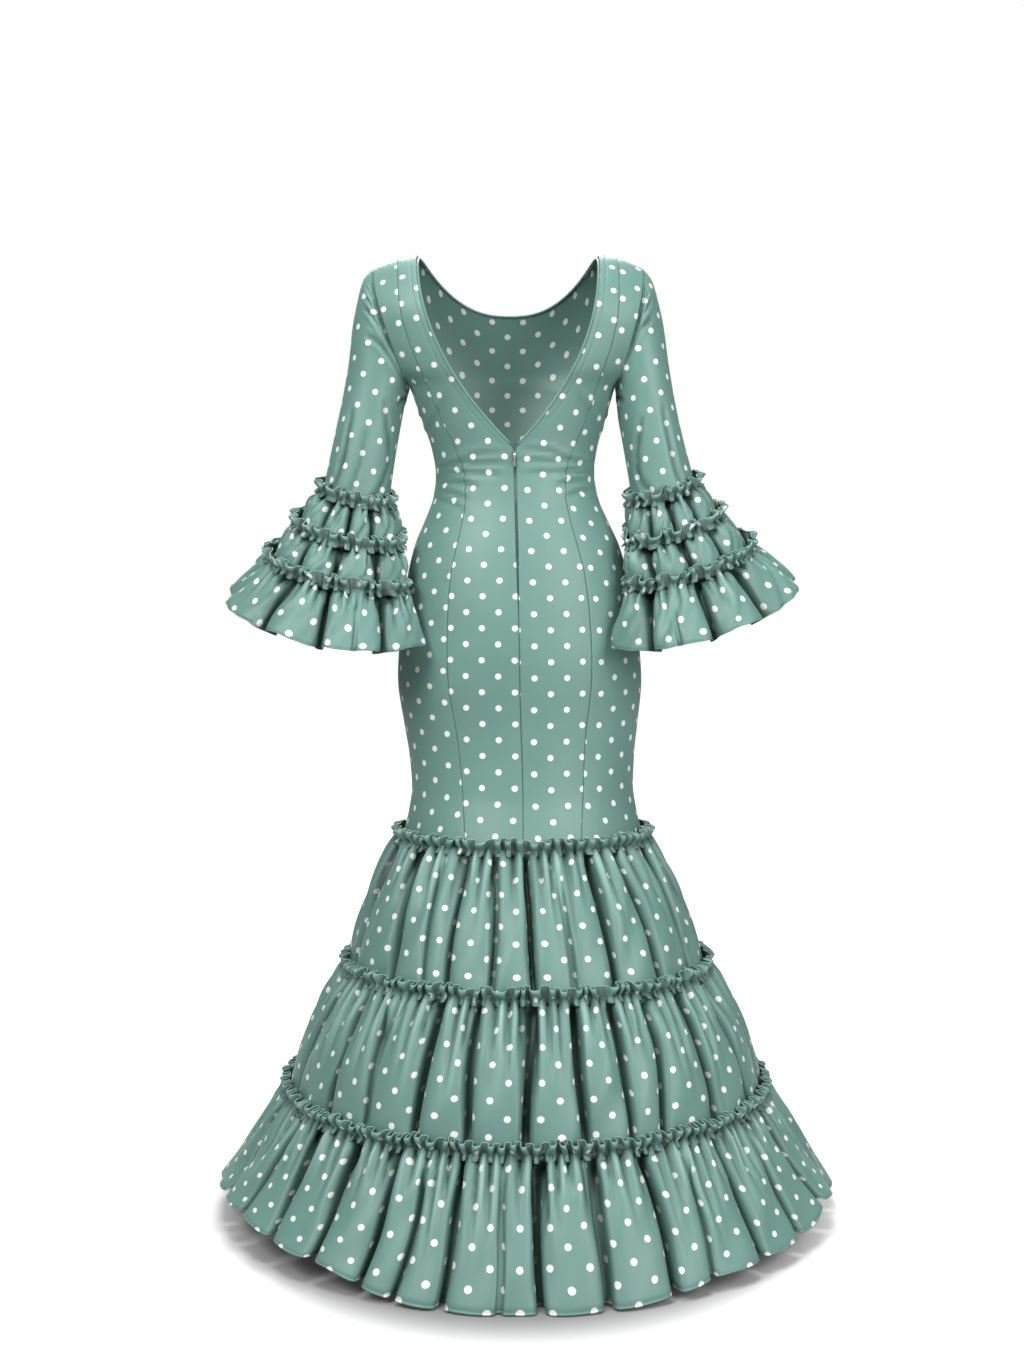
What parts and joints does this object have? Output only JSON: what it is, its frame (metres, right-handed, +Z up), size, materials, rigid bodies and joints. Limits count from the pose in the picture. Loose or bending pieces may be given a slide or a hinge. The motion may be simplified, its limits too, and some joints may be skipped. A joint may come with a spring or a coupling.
{
  "type": "flamenco dress on its wearer's form",
  "caption": "Fitted flamenco dress with a deep back V, zipped centre back, set-in sleeves with gathered ruffles and a tiered, gathered skirt, held open in its worn shape.",
  "frame": {"origin": "midway between the shoulder seams at the neck edge, at the height of the shoulders, where the dress rests on its wearer", "axes": "+Z up along the wearer, +Y out of the back of the dress, +X to the wearer's left"},
  "size_m": [0.9278, 0.9279, 1.4386],
  "materials": {
    "satin": "satin",
    "piping_satin": "satin",
    "zip_tape": "matte",
    "nickel": "polished"
  },
  "bodies": {
    "dress": {"back_left": "satin", "back_right": "satin", "side_back_left": "satin", "side_back_right": "satin", "side_front_left": "satin", "side_front_right": "satin", "front": "satin", "skirt_tier_1": "satin", "skirt_heading_1": "satin", "skirt_tier_2": "satin", "skirt_heading_2": "satin", "skirt_tier_3": "satin", "skirt_heading_3": "satin", "sleeve_left": "satin", "sleeve_left_tier_1": "satin", "sleeve_left_heading_1": "satin", "sleeve_left_tier_2": "satin", "sleeve_left_heading_2": "satin", "sleeve_left_tier_3": "satin", "sleeve_left_heading_3": "satin", "sleeve_right": "satin", "sleeve_right_tier_1": "satin", "sleeve_right_heading_1": "satin", "sleeve_right_tier_2": "satin", "sleeve_right_heading_2": "satin", "sleeve_right_tier_3": "satin", "sleeve_right_heading_3": "satin", "neck_piping": "piping_satin", "zip_tape": "zip_tape", "zip_slider": "nickel"},
    "pull_tab": {"zip_pull": "nickel"}
  },
  "joints": [
    {"name": "zip_pull_swing", "type": "hinge", "parent": "dress", "child": "pull_tab", "pos_m": [0.00066, 0.08947, -0.3095], "axis": [1, 0, 0], "range_deg": [0, 150]}
  ]
}
